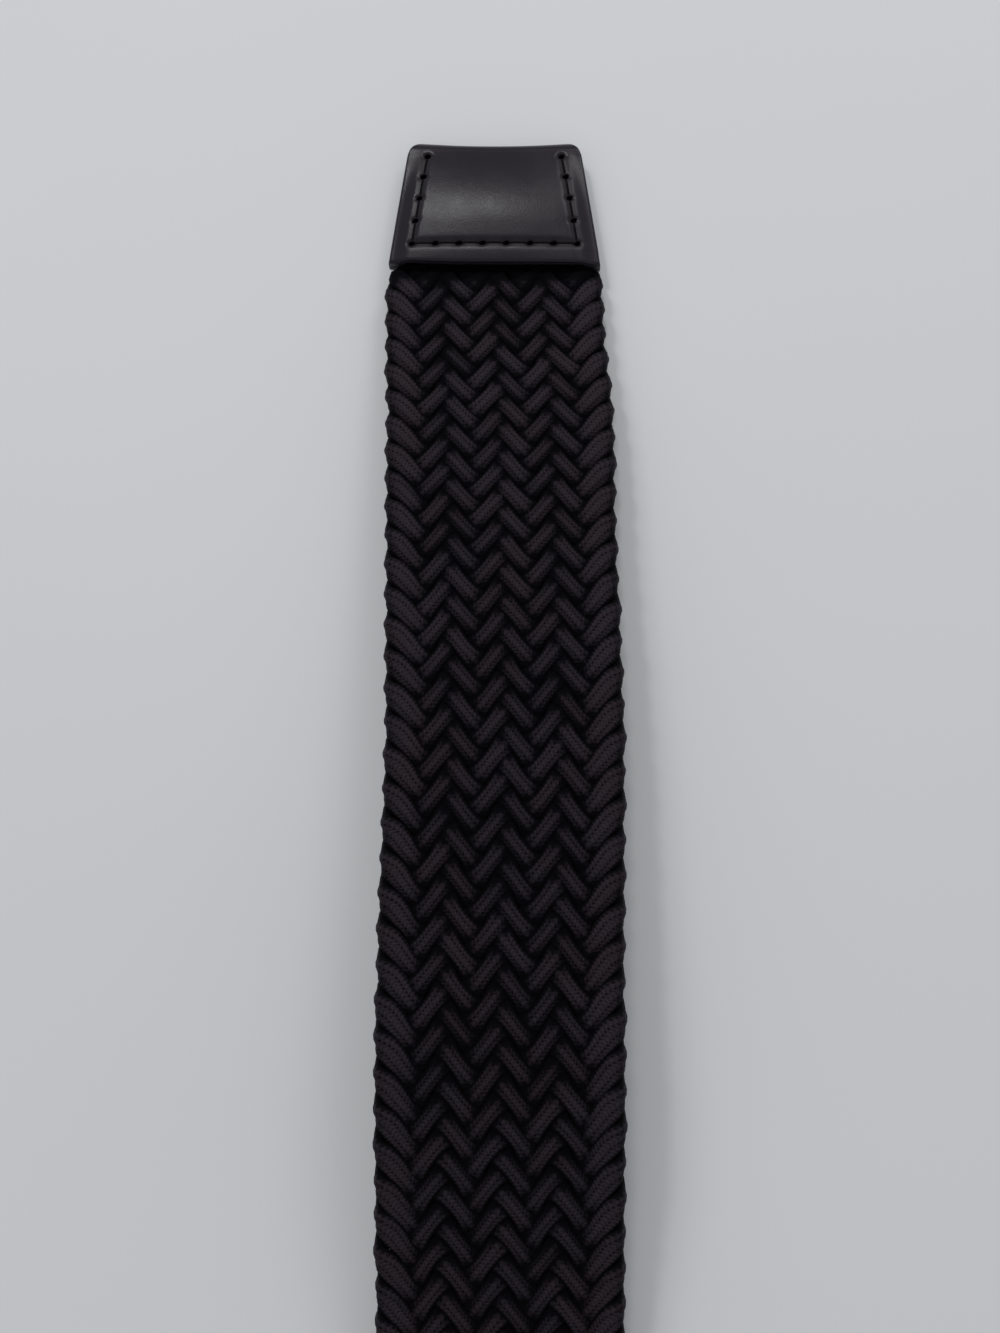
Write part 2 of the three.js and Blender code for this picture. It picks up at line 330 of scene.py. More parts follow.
def braided_polyester(plait):
    """Braided textured polyester over elastic: matte, near black, with rows of tiny stitch pits
    between its lengthwise ridges and faint slanted ribs on them. Its colour holds painted shade in the
    pits, between the ribs, towards the sides of each face, deep between the strands and under the
    leather. It gives the eye a dry, soft blackness with pinpricks of painted shade, smoother near the
    tip where the plait is packed tighter."""
    m = new_material("braided_textured_polyester")
    own = node(m, "UVMap", {"uv_map": "along_strand"})
    parts = node(m, "SeparateXYZ", inputs={"Vector": own})

    # Rows of pits: the share of the way round, folded so that 0 is the middle of either face
    folded = node(m, "Math", {"operation": "PINGPONG"}, {0: parts.outputs["X"], 1: 0.5})
    off_crest = node(m, "Math", {"operation": "SUBTRACT"}, {0: folded, 1: 0.25})
    from_crest = node(m, "Math", {"operation": "ABSOLUTE"}, {0: off_crest})
    past_first = node(m, "Math", {"operation": "SUBTRACT"}, {0: from_crest, 1: PIT_ROW})
    rows = node(m, "Math", {"operation": "DIVIDE"}, {0: past_first, 1: PIT_ROW_SPACING})
    row = node(m, "Math", {"operation": "ROUND"}, {0: rows})
    off_row = node(m, "Math", {"operation": "SUBTRACT"}, {0: rows, 1: row})
    beside = node(m, "Math", {"operation": "MULTIPLY"}, {
        0: off_row, 1: PIT_ROW_SPACING * STRAND_GIRTH})
    stitches = node(m, "Math", {"operation": "DIVIDE"}, {
        0: parts.outputs["Y"], 1: plait.rib_pitch})
    staggered = node(m, "Math", {"operation": "MULTIPLY_ADD"}, {0: row, 1: 0.5, 2: stitches})
    nearest = node(m, "Math", {"operation": "ROUND"}, {0: staggered})
    off_pit = node(m, "Math", {"operation": "SUBTRACT"}, {0: staggered, 1: nearest})
    behind = node(m, "Math", {"operation": "MULTIPLY"}, {0: off_pit, 1: plait.rib_pitch})
    across_pit = node(m, "CombineXYZ", inputs={"X": beside, "Y": behind})
    away = node(m, "VectorMath", {"operation": "LENGTH"}, {0: across_pit})
    pit = node(m, "MapRange", {"interpolation_type": "SMOOTHSTEP"}, {
        "Value": away.outputs["Value"], "From Min": 0.08 * MM, "From Max": 0.24 * MM})

    # Slanted ribs on the ridges, which lean one way and the other
    to_and_fro = node(m, "Math", {"operation": "PINGPONG"}, {0: rows, 1: 1.0})
    leaning = node(m, "Math", {"operation": "MULTIPLY_ADD"}, {
        0: to_and_fro, 1: 0.6, 2: stitches})
    angle = node(m, "Math", {"operation": "MULTIPLY"}, {0: leaning, 1: 2 * math.pi})
    wave = node(m, "Math", {"operation": "SINE"}, {0: angle})
    rib = node(m, "MapRange", inputs={"Value": wave, "From Min": -1.0})

    place = node(m, "TexCoord").outputs["Object"]
    fuzz = node(m, "TexNoise", inputs={
        "Vector": place, "Scale": 1 / (0.32 * MM), "Detail": 3.0,
        "Roughness": 0.7})
    knit = node(m, "Math", {"operation": "MULTIPLY_ADD"}, {0: rib, 1: 0.6, 2: pit})
    relief = node(m, "Math", {"operation": "MULTIPLY_ADD"}, {0: fuzz, 1: 2.3, 2: knit})
    along_belt = node(m, "SeparateXYZ", inputs={"Vector": place})
    strength = node(m, "MapRange", inputs={
        "Value": along_belt.outputs["Y"], "From Min": 0.47, "From Max": 0.38,
        "To Min": 0.5, "To Max": 1.0})
    bump = node(m, "Bump", inputs={
        "Height": relief, "Strength": strength, "Distance": 0.13 * MM})

    drift = node(m, "TexNoise", inputs={
        "Vector": place, "Scale": 1 / (9 * MM), "Detail": 1.0})
    warmth = node(m, "MapRange", inputs={
        "Value": drift, "From Min": 0.4, "From Max": 0.65})
    ridge_colour = node(m, "Mix", {"data_type": "RGBA"}, {
        "Factor": warmth, "A": (*plait.cord_colour, 1), "B": (*plait.warm_colour, 1)})
    # Painted shade: the colour darkens deep between the strands, under the leather and towards the
    # sides of each face
    open_light = node(m, "Attribute", {"attribute_name": "painted_open_light"})
    painted_side_shade = node(m, "MapRange", {"interpolation_type": "SMOOTHSTEP"}, {
        "Value": from_crest, "From Min": 0.25, "From Max": 0.13, "To Min": 0.35, "To Max": 1.0})
    painted_light_share = node(m, "Math", {"operation": "MULTIPLY"}, {
        0: open_light.outputs["Fac"], 1: painted_side_shade})
    # Painted light and shade: the relief, with its random fuzz and dimmed by the painted open light,
    # takes the colour from the shade colour in the pits and between the ribs up to the ridge colour on
    # the raised ribs
    lit_relief = node(m, "Math", {"operation": "MULTIPLY"}, {0: relief, 1: painted_light_share})
    lit = node(m, "MapRange", inputs={
        "Value": lit_relief, "From Min": 1.15, "From Max": 3.1})
    seen = node(m, "Mix", {"data_type": "RGBA"}, {
        "Factor": lit, "A": (*plait.shade_colour, 1), "B": ridge_colour.outputs["Result"]})
    dulled = node(m, "MapRange", inputs={
        "Value": open_light.outputs["Fac"], "To Min": 1.0, "To Max": 0.56})
    return finish_material(m, {
        "Base Color": seen.outputs["Result"], "Roughness": dulled, "Specular IOR Level": 0.07,
        "Normal": bump})


def grain_leather(leather):
    """Full-grain cowhide with a satin black finish: fine pebbles, faint creases and a soft broad
    shine that breaks up into sparkles on the domed middle."""
    m = new_material("satin_full_grain_leather")
    place = node(m, "TexCoord").outputs["Object"]
    pebbles = node(m, "TexVoronoi", {"feature": "DISTANCE_TO_EDGE"}, {
        "Vector": place, "Scale": 1 / leather.grain_size})
    pebble = node(m, "MapRange", {"interpolation_type": "SMOOTHSTEP"}, {
        "Value": pebbles, "From Max": 0.35})
    creases = node(m, "TexNoise", inputs={
        "Vector": place, "Scale": 1 / (1.6 * MM), "Detail": 4.0, "Distortion": 0.6})
    relief = node(m, "Math", {"operation": "MULTIPLY_ADD"}, {0: creases, 1: 2.5, 2: pebble})
    bump = node(m, "Bump", inputs={
        "Height": relief, "Strength": 0.5, "Distance": 0.012 * MM})
    cloudy = node(m, "TexNoise", inputs={
        "Vector": place, "Scale": 1 / (5 * MM), "Detail": 2.0})
    polish = node(m, "MapRange", inputs={
        "Value": cloudy, "From Min": 0.3, "From Max": 0.7, "To Min": 0.27, "To Max": 0.34})
    tone = node(m, "MapRange", inputs={"Value": pebble, "To Min": 0.88, "To Max": 1.0})
    grained = node(m, "Mix", {"data_type": "RGBA", "blend_type": "MULTIPLY"}, {
        "Factor": 1.0, "A": (*leather.leather_colour, 1), "B": tone})
    # Painted shade: the stitches' grooves and dimples are darkened towards the thread's colour, and
    # made duller
    painted_stitch_shade = node(m, "Attribute", {"attribute_name": "painted_shade"})
    seen = node(m, "Mix", {"data_type": "RGBA"}, {
        "Factor": painted_stitch_shade.outputs["Fac"],
        "A": grained.outputs["Result"], "B": (*leather.thread_colour, 1)})
    dulled = node(m, "Math", {"operation": "MULTIPLY_ADD", "use_clamp": True}, {
        0: painted_stitch_shade.outputs["Fac"], 1: 0.6, 2: polish})
    return finish_material(m, {
        "Base Color": seen.outputs["Result"], "Roughness": dulled, "Specular IOR Level": 0.28,
        "Normal": bump})


def edge_paint(leather):
    """Black acrylic edge paint, rolled on in a thick coat: darker and smoother than the leather's
    face, and faintly uneven."""
    m = new_material("rolled_edge_paint")
    place = node(m, "TexCoord").outputs["Object"]
    uneven = node(m, "TexNoise", inputs={
        "Vector": place, "Scale": 1 / (1.2 * MM), "Detail": 2.0})
    bump = node(m, "Bump", inputs={
        "Height": uneven, "Strength": 0.4, "Distance": 0.08 * MM})
    polish = node(m, "MapRange", inputs={"Value": uneven, "To Min": 0.4, "To Max": 0.6})
    return finish_material(m, {
        "Base Color": (*leather.edge_colour, 1), "Roughness": polish, "Normal": bump})


def waxed_thread(leather):
    """Waxed polyester thread of three plies: a thin dull line with a slanted twist."""
    m = new_material("waxed_polyester_thread")
    own = node(m, "UVMap", {"uv_map": "along_strand"})
    parts = node(m, "SeparateXYZ", inputs={"Vector": own})
    plies = node(m, "Math", {"operation": "DIVIDE"}, {0: parts.outputs["Y"], 1: 0.4 * MM})
    turned = node(m, "Math", {"operation": "ADD"}, {0: plies, 1: parts.outputs["X"]})
    angle = node(m, "Math", {"operation": "MULTIPLY"}, {0: turned, 1: 2 * math.pi})
    twist = node(m, "Math", {"operation": "SINE"}, {0: angle})
    bump = node(m, "Bump", inputs={
        "Height": twist, "Strength": 0.8, "Distance": 0.03 * MM})
    return finish_material(m, {
        "Base Color": (*leather.thread_colour, 1), "Roughness": 0.8, "Specular IOR Level": 0.1,
        "Normal": bump})


def slit_shade():
    """Painted shade for the unlit inside of a stitch hole: no shine at all, which sets the crisp dark
    dashes of the sewing against the leather's sheen."""
    return finish_material(new_material("stitch_hole_shade"), {
        "Base Color": (*linear("#030203"), 1), "Roughness": 1.0, "Specular IOR Level": 0.0})


def gunmetal_plating(buckle):
    """Zinc alloy with a gunmetal plating, barrel polished: dark grey metal with a satin, slightly
    cloudy shine and a faint orange peel."""
    m = new_material("gunmetal_plated_zinc")
    place = node(m, "TexCoord").outputs["Object"]
    cloudy = node(m, "TexNoise", inputs={
        "Vector": place, "Scale": 1 / (7 * MM), "Detail": 3.0})
    polish = node(m, "MapRange", inputs={"Value": cloudy, "To Min": 0.26, "To Max": 0.42})
    peel = node(m, "TexNoise", inputs={
        "Vector": place, "Scale": 1 / (0.8 * MM), "Detail": 2.0})
    bump = node(m, "Bump", inputs={
        "Height": peel, "Strength": 0.25, "Distance": 0.03 * MM})
    return finish_material(m, {
        "Base Color": (*buckle.metal_colour, 1), "Metallic": 1.0, "Roughness": polish, "Normal": bump})


def painted_floor(stage):
    """Matte pale floor paint: even and dull, with very slight clouds in its tone."""
    m = new_material("matte_floor_paint")
    place = node(m, "TexCoord").outputs["Object"]
    clouds = node(m, "TexNoise", inputs={
        "Vector": place, "Scale": 1 / (120 * MM), "Detail": 2.0})
    tone = node(m, "MapRange", inputs={"Value": clouds, "To Min": 0.97, "To Max": 1.03})
    seen = node(m, "Mix", {"data_type": "RGBA", "blend_type": "MULTIPLY"}, {
        "Factor": 1.0, "A": (*stage.floor_colour, 1), "B": tone})
    return finish_material(m, {"Base Color": seen.outputs["Result"], "Roughness": 0.8})


# Plait

STRANDS = 17
# Width of a strand on top, against its share of the plait, from the mouth to the open plait
SLIMMING = ([0, 40 * MM, 110 * MM], [0.95, 0.91, 0.86])
EDGE_WIDTH = 1.2  # the same beside the plait's edges
DIVE_WIDTHS = (0.98, 1.54)  # the same where it changes sides, at the edge and further in
# Pitch of the plait in mm against mm from the leather's mouth: it is denser near the tip
PITCHES = [(0, 4.19), (10, 4.22), (20, 4.29), (30, 4.39), (40, 4.50), (50, 4.63), (60, 4.76),
           (70, 4.87), (80, 4.95), (90, 4.99), (130, 4.96), (150, 5.1)]
ALONG_STEP = 0.25 * MM  # spacing of the places at which the pitches are added up
FIRST_TURN = -0.52  # half pitches between the mouth and a turn at the left edge
EDGE_TURN = 0.8  # radius of a strand's turn at the plait's edge, in steps across
EDGE_REACH = 0.4  # how far the turn's outermost point lies inside the last step
LOBE = 0.62 * MM  # how far a turn bulges out of the edge
LOBE_REACH = 0.45  # how far that carries on, in steps across
ROLL_REACH = 1.05  # steps before and after the edge in which a strand rolls over
SQUARENESS = 1.9  # how long a strand stays level on top and underneath
DETAIL_REACH = 185 * MM  # the stretch behind the tip that gets the finest strands
FINE_RINGS = 6  # rings for each half pitch there
PLAIN_RINGS = 4
INSIDE = 3.5 * MM  # how far the strands go into the leather
THICKNESS = 4.5 * MM  # of the whole plait
SOFT = 0.35 * MM  # how much of each face gives way where a strand presses on it
SHADE_DEPTH = 1.25 * MM  # painted shade: no open light is painted deeper than this between the strands
GRIPPED_WIDTH = 28 * MM  # width of the plait inside the leather
GRIP_FROM, GRIP_EASE = 1.6 * MM, 2.4 * MM  # where the plait narrows to that, from the mouths
FREE_FROM, FREE_EASE = 0.2 * MM, 4.2 * MM  # where it swells to its full thickness
MOUTH_WIDTH = 0.76  # of a strand at the mouths, against the open plait
MOUTH_RISE = 0.25  # of its course there, against the open plait
MOUTH_SINK = 0.45 * MM  # how much lower the plait lies there
UNEVEN_WIDTH = 0.03
UNEVEN_HEIGHT = 0.06 * MM
UNEVEN_SIDE = 0.07 * MM
UNEVEN_ROLL = 0.06

# A strand's section, drawn clockwise, with three ridges on each face, as shares of its half sizes
UPPER_RIDGES = [(-1.0, 0.0), (-0.93, 0.38), (-0.7, 0.7), (-0.36, 0.8), (0.0, 1.0), (0.36, 0.8),
                (0.7, 0.7), (0.93, 0.38)]
RIDGES = UPPER_RIDGES + [(-across, -up) for across, up in UPPER_RIDGES]


def plait_lie():
    """Reads from the plait's solid where it lies: places along the belt, and its middle, half width
    and middle height there, smoothed over a few millimetres."""
    corners = np.array([v.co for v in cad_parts["braid"].data.vertices])
    sections = []
    for y in np.unique(corners[:, 1].round(5)):
        ring = corners[abs(corners[:, 1] - y) < 0.02 * MM]
        low, high = ring.min(axis=0), ring.max(axis=0)
        # The thinner sections are inside the leather
        if high[2] - low[2] > 3.5 * MM:
            sections.append([y, (low[0] + high[0]) / 2, (high[0] - low[0]) / 2, (low[2] + high[2]) / 2])
    sections = np.array(sections)
    places = np.arange(-0.5, 0.5, MM)
    window = np.hanning(11)[1:-1]
    window = window / window.sum()
    smoothed = [places]
    for column in (1, 2, 3):
        raw = np.interp(places, sections[:, 0], sections[:, column])
        smoothed.append(np.convolve(np.pad(raw, 4, mode="edge"), window, mode="valid"))
    return smoothed


def lie_at(y, lie):
    """The plait's middle, half width and middle height at places along the belt."""
    return [np.interp(y, lie[0], column) for column in lie[1:]]


def freedom(y, mouths):
    """0 at the leather's mouths, and 1 where the plait is free of them."""
    low, high = mouths
    return smooth_step((np.minimum(high - y, y - low) - FREE_FROM) / FREE_EASE)


def strand_course(number, counts, last, plait, lie, mouths, ruler):
    """The points, tilts and radii of one strand at counts, which are half pitches from the tip's
    mouth. ruler lists places along the belt, and the pitch and the half pitches up to there."""
    chance = random.Random(SEED + number)

    def uneven(size, every):
        """A slow random drift of about that size, with a new value every few half pitches."""
        knots = np.arange(counts[0], last + 2 * every, every)
        return np.interp(counts, knots, [chance.gauss(0, size) for _ in knots])

    along, pitch, turned = ruler
    from_tip = np.interp(counts, turned, along)
    y = mouths[1] - from_tip
    middle, half, height = lie_at(y, lie)
    gripped = smooth_step((GRIP_FROM - np.minimum(from_tip, y - mouths[0])) / GRIP_EASE)
    half = half + (GRIPPED_WIDTH / 2 - half) * gripped
    free = freedom(y, mouths)

    # To and fro across the plait, in steps from its left edge
    phase = (counts + 2 * number) % (2 * STRANDS)
    steps = np.where(phase < STRANDS, phase, 2 * STRANDS - phase)
    from_edge = np.minimum(steps, STRANDS - steps)
    rounded = np.where(from_edge < EDGE_TURN,
                       EDGE_REACH + from_edge ** 2 / (2 * EDGE_TURN), from_edge)
    step = (half - plait.edge_inset) / (STRANDS / 2 - EDGE_REACH)
    lobe = LOBE * np.exp(-(from_edge / LOBE_REACH) ** 2) * free
    side = np.where(steps < STRANDS / 2, -1, 1)
    x = middle + side * ((STRANDS / 2 - rounded) * step + lobe)

    # Over two strands and under two, with a half turn round the plait at each edge
    right = phase - STRANDS
    left = (phase + STRANDS) % (2 * STRANDS) - STRANDS
    wave = np.where(phase < STRANDS, np.cos(np.pi * (phase - 1.5) / 2),
                    np.cos(np.pi * (right - 1.5) / 2))
    wave = np.where(abs(right) < 1.5, np.sin(np.pi * right / 3), wave)
    wave = np.where(abs(left) < 1.5, np.sin(np.pi * left / 3), wave)
    level = np.tanh(SQUARENESS * wave) / np.tanh(SQUARENESS)
    rolled = [smooth_step((edge / ROLL_REACH + 1) / 2) for edge in (right, left)]
    roll = np.pi * ((phase < STRANDS) + rolled[0] - rolled[1])

    # As wide as its share of the plait, and slimmer on top than where it dives
    pitch_here = np.interp(from_tip, along, pitch)
    share_width = pitch_here * np.sin(np.arctan2(step, pitch_here / 2)) / plait.strand_width
    slim = np.interp(from_tip, *SLIMMING)
    slim = slim + (EDGE_WIDTH - slim) * (1 - smooth_step((from_edge - 1.1) / 1.4))
    at_edge, further_in = DIVE_WIDTHS
    diving = at_edge + (further_in - at_edge) * smooth_step((from_edge - 0.1) / 0.7)
    radii = share_width * (diving - (diving - slim) * abs(level) ** 1.5)
    radii = radii * (MOUTH_WIDTH + (1 - MOUTH_WIDTH) * free) * (1 + uneven(UNEVEN_WIDTH, 2))

    z = height + plait.rise * level * (MOUTH_RISE + (1 - MOUTH_RISE) * free)
    z = z - MOUTH_SINK * (1 - free) + uneven(UNEVEN_HEIGHT, 2) * free
    x = x + uneven(UNEVEN_SIDE, 1.5)
    return np.stack([x, y, z], axis=1), roll + uneven(UNEVEN_ROLL, 2), radii


def press_and_mark(mesh, lie, mouths):
    """Presses a strand into the plait's thickness, and gives each of its corners a share of painted
    open
    light for its colour: 1 on the plait's faces and edges, 0 (full painted shade) deep between the
    strands and under the leather."""
    corners = np.zeros(3 * len(mesh.vertices))
    mesh.vertices.foreach_get("co", corners)
    x, y, z = corners.reshape(-1, 3).T
    middle, half, height = lie_at(y, lie)
    reach = THICKNESS / 2 - SOFT
    rise = abs(z - height)
    pressed = np.minimum(rise, reach) + SOFT * np.tanh(np.maximum(rise - reach, 0) / SOFT)
    z = height + np.sign(z - height) * pressed
    mesh.vertices.foreach_set("co", np.stack([x, y, z], axis=1).ravel())

    depth = np.minimum(THICKNESS / 2 - pressed, half - abs(x - middle))
    # Painted shade: deep between the strands and under the leather's mouths the colour is darkened
    add_mark(mesh, "painted_open_light", (1 - smooth_step(depth / SHADE_DEPTH)) * freedom(y, mouths))


def make_plait(plait):
    """Seventeen flat strands that run to and fro across the belt, over two and under two."""
    lie = plait_lie()
    mouths = (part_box("tab_leather")[1].y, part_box("tip_leather")[0].y)
    reach = mouths[1] - mouths[0]
    along = np.arange(-20 * MM, reach + 20 * MM, ALONG_STEP)
    pitch = np.interp(along / MM, *zip(*PITCHES)) * MM
    turned = np.cumsum(2 / pitch) * ALONG_STEP
    turned += FIRST_TURN - np.interp(0, along, turned)

    first, detailed, last = np.interp([-INSIDE, DETAIL_REACH, reach + INSIDE], along, turned)
    counts = np.concatenate([
        np.arange(first, detailed, 1 / FINE_RINGS), np.arange(detailed, last, 1 / PLAIN_RINGS)])
    section = [(across * plait.strand_width / 2, up * plait.strand_thickness / 2)
               for across, up in RIDGES]
    finish = braided_polyester(plait)
    for number in range(STRANDS):
        course = strand_course(number, counts, last, plait, lie, mouths, (along, pitch, turned))
        points, tilts, radii = course
        mesh = sweep("strand", points, section, tilts, radii)
        press_and_mark(mesh, lie, mouths)
        add_piece(f"strand_{number + 1:02d}", mesh, "elastic_cord", "braid", finish)


# Leather


def rounding(radius, inset):
    """How much an edge rounded to that radius loses, at places inset from it."""
    edge = np.clip(radius - inset, 0, radius)
    return radius - np.sqrt(np.maximum(radius ** 2 - edge ** 2, 0))


class Cover:
    """A strap of leather folded round one end, with its two layers sewn together along the sides and
    the mouth. Places on it are given by x across, and by the depth d from the fold to the mouth."""

    corner = 0.0  # radius of the two corners at the fold
    hollow = 0.0  # how far the middle of the fold is set back
    crown = 0.0  # how far the middle of the panel is domed
    lip_reach = 0.0  # how far the lip reaches over the strands
    short_left = 0.0  # how much less it does at its left corner
    sewn_from = 0.0  # the sides are pressed together from this depth
    sewn_ease = 3.0 * MM
    height = 5.0 * MM  # both layers and what they hold
    seam_height = 3.2 * MM  # both layers at the painted edge
    rim = 0.4 * MM  # rounding of the painted edge
    mouth_rim = 0.25 * MM  # rounding of the mouth
    seam_width = 1.6 * MM  # this far in from the sides the two layers touch
    seam_ease = 1.4 * MM  # and over this stretch they part
    groove = 0.26 * MM  # how deep the stitches pull the leather in between their holes
    groove_width = 0.55 * MM
    dimple = 0.6 * MM  # how deep they pull it in at the holes
    dimple_sizes = (0.52 * MM, 0.34 * MM)  # across and along
    dive = 0.55 * MM  # how deep the thread goes there
    slit_lift = 0.36 * MM  # of the dark pods of painted shade in the slits, from the bottom of their dimples

    def __init__(self, leather, node_name, toward, fold_width, **shape):
        """toward is 1 where the mouth lies towards +Y from the fold, and -1 where it doesn't. shape
        holds fold_height, the nose (how far the bend reaches along), full_depth (from there to
        where the height is full), bend_share (of the rows) and changes to the sizes above."""
        self.leather = leather
        self.node_name = node_name
        self.toward = toward
        for name, value in shape.items():
            setattr(self, name, value)
        low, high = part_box(node_name)
        self.fold_y = low.y if toward > 0 else high.y
        self.depth = high.y - low.y
        self.middle = (low.x + high.x) / 2
        self.mouth_half = (high.x - low.x) / 2
        self.fold_half = fold_width / 2
        self.holes = self.stitch_holes()

    def side(self, d):
        """Half the width at a depth, before the corners are rounded."""
        return self.fold_half + (self.mouth_half - self.fold_half) * d / self.depth

    def half_width(self, d):
        """Half the width at a depth, less what a rounded corner takes off."""
        return self.side(d) - rounding(self.corner, d)

    def stitch_holes(self):
        """The U of holes, up one side, along the mouth and down the other, as (x, d)."""
        inset, pitch = self.leather.stitch_inset, self.leather.stitch_pitch
        last = self.depth - self.leather.mouth_inset
        steps = round((last - self.nose - 0.3 * self.leather.mouth_inset) / pitch)
        depths = [last - pitch * i for i in range(steps, 0, -1)]
        rows = [(self.side(d) - inset, d) for d in depths if d > self.nose]
        half = self.side(last) - inset
        across = round(2 * half / pitch)
        return ([(-x, d) for x, d in rows]
                + [(-half + 2 * half * i / across, last) for i in range(across + 1)]
                + rows[::-1])

    def sunk(self, x, d):
        """How deep the stitches pull the leather in: a shallow groove along their line, and a
        dimple at each hole. Also the painted shade that these recesses put into the leather's colour."""
        nearest = np.full(np.shape(x), 1.0)
        for (ax, ad), (bx, bd) in zip(self.holes[:-1], self.holes[1:]):
            run = (bx - ax) ** 2 + (bd - ad) ** 2
            s = np.clip(((x - ax) * (bx - ax) + (d - ad) * (bd - ad)) / run, 0, 1)
            nearest = np.minimum(nearest, np.hypot(x - ax - s * (bx - ax), d - ad - s * (bd - ad)))
        groove = np.exp(-(nearest / self.groove_width) ** 2)
        dimple = np.zeros(np.shape(x))
        wide, long = self.dimple_sizes
        for hx, hd in self.holes:
            # The awl's slit leans a little
            across, along = (x - hx) + 0.35 * (d - hd), d - hd
            dimple = np.maximum(dimple, np.exp(-(across / wide) ** 2 - (along / long) ** 2))
        # The second value is painted shade: a quarter in the groove and a half in each dimple
        return self.groove * groove + self.dimple * dimple, 0.25 * groove + 0.5 * dimple

    def opening(self, d):
        """How far the strap has opened from its fold, from 0 to 1, its full height there, and how
        firmly the sides are sewn, from 0 to 1."""
        opened = 1 - (1 - np.clip((d - self.nose) / self.full_depth, 0, 1)) ** 2
        full = self.fold_height + (self.height - self.fold_height) * opened
        return opened, full, smooth_step((d - self.sewn_from) / self.sewn_ease)

    def faces(self, x, d):
        """The heights of the lower and the upper face, before the stitches pull them in."""
        opened, full, sewn = self.opening(d)
        q = self.half_width(d) - abs(x)
        panel = smooth_step(q / (self.leather.stitch_inset + self.seam_ease))
        seam = np.minimum(self.seam_height, full)
        inner = 0.5 * smooth_step(q / self.leather.stitch_inset) + 0.5 * panel
        border = seam + (full - seam) * inner
        thick = full + (border - full) * sewn
        low = (full - thick) / 3
        dome = self.crown * opened * (1 - (x / self.half_width(d)) ** 2)
        dome = dome * np.sin(np.pi * np.clip(d / self.depth, 0, 1) ** 0.9) ** 0.5
        round_off = rounding(self.rim, q) + rounding(self.mouth_rim, self.depth - d)
        return low + round_off * sewn, low + thick + dome - round_off * sewn

    def gap(self, x, d):
        """The clear height between the layers."""
        _, full, sewn = self.opening(d)
        q = self.half_width(d) - abs(x)
        closed = 1 - sewn * (1 - smooth_step((q - self.seam_width) / self.seam_ease))
        return np.maximum(0.02 * MM, (full - 2 * self.leather.wall) * closed)

    def place(self, across, along, up):
        """A grid corner's place, and the painted shade of its colour. The rows run from the lower
        layer's mouth round the fold to the upper layer's mouth, and up is 0 on the inside and 1 on the
        outside."""
        spread = 2 * across - 1
        spread = spread * 1.4 - 0.4 * spread ** 3  # the columns lie closer at the sides
        layer = 2 * along - 1
        folded = abs(layer) < self.bend_share
        flat = np.clip((abs(layer) - self.bend_share) / (1 - self.bend_share), 0, 1)
        angle = np.clip(layer / self.bend_share, -1, 1) * np.pi / 2
        d = np.where(folded, self.nose * (1 - np.cos(angle)),
                     self.nose + flat * (self.depth - self.nose))
        x = spread * self.half_width(d)
        beyond_fold = np.maximum(d, self.nose)
        low, high = self.faces(x, beyond_fold)
        pull, painted_shade = self.sunk(x, d)
        outer = (high - low) / 2
        inner = np.minimum(self.gap(x, beyond_fold) / 2, outer)
        pulled = outer - np.where(folded, 0, pull)
        half = np.where(up > 0.5, pulled, np.minimum(inner, pulled - 0.3 * MM))
        z = (low + high) / 2 + half * np.sin(angle)
        d = d + np.where(folded, (1 - up) * self.leather.wall * np.cos(angle), 0)
        set_back = self.hollow * (1 - spread ** 2) * np.exp(-d / (4 * MM))
        lip = smooth_step((d - self.depth) / (self.leather.mouth_inset - 0.4 * MM) + 1)
        left = smooth_step(-spread * 1.1 - 0.1) ** 1.5
        set_back = set_back + lip * (self.lip_reach - self.short_left * left)
        return self.middle + x, self.fold_y + self.toward * (d + set_back), z, painted_shade

    def thread_path(self, upper):
        """The thread's way along the holes on one face: it dives at each hole."""
        points = []
        for (ax, ad), (bx, bd) in zip(self.holes[:-1], self.holes[1:]):
            for s in np.arange(0, 1, 0.1):
                dive = self.dive * max(0.0, 1 - min(s, 1 - s) / 0.17) ** 0.7
                points.append((ax + s * (bx - ax), ad + s * (bd - ad), dive))
        points.append((*self.holes[-1], self.dive))
        x, d, dive = np.array(points).T
        low, high = self.faces(x, d)
        inwards = self.sunk(x, d)[0] + dive + 0.04 * MM
        z = high - inwards if upper else low + inwards
        return np.stack([self.middle + x, self.fold_y + self.toward * d, z], axis=1)

    def painted_slit_shade(self, upper):
        """Painted shade in the slits that the awl leaves at the stitches: flat dark pods sunk in their
        dimples.
        """
        chance = random.Random(SEED)
        bm = bmesh.new()
        for x, d in self.holes:
            low, high = self.faces(np.array([x]), np.array([d]))
            sunk = self.sunk(np.array([x]), np.array([d]))[0][0] - self.slit_lift
            z = high[0] - sunk if upper else low[0] + sunk
            place = Matrix.Translation((self.middle + x, self.fold_y + self.toward * d, z))
            turn = Matrix.Rotation(-self.toward * math.radians(chance.uniform(18, 42)), 4, "Z")
            long, wide = chance.uniform(0.62, 0.8) * MM, chance.uniform(0.36, 0.46) * MM
            shape = Matrix.Diagonal((long, wide, 0.18 * MM, 1))
            bmesh.ops.create_uvsphere(bm, u_segments=14, v_segments=8, radius=1,
                                      matrix=place @ turn @ shape)
        return new_mesh("painted_slit_pods", bm)


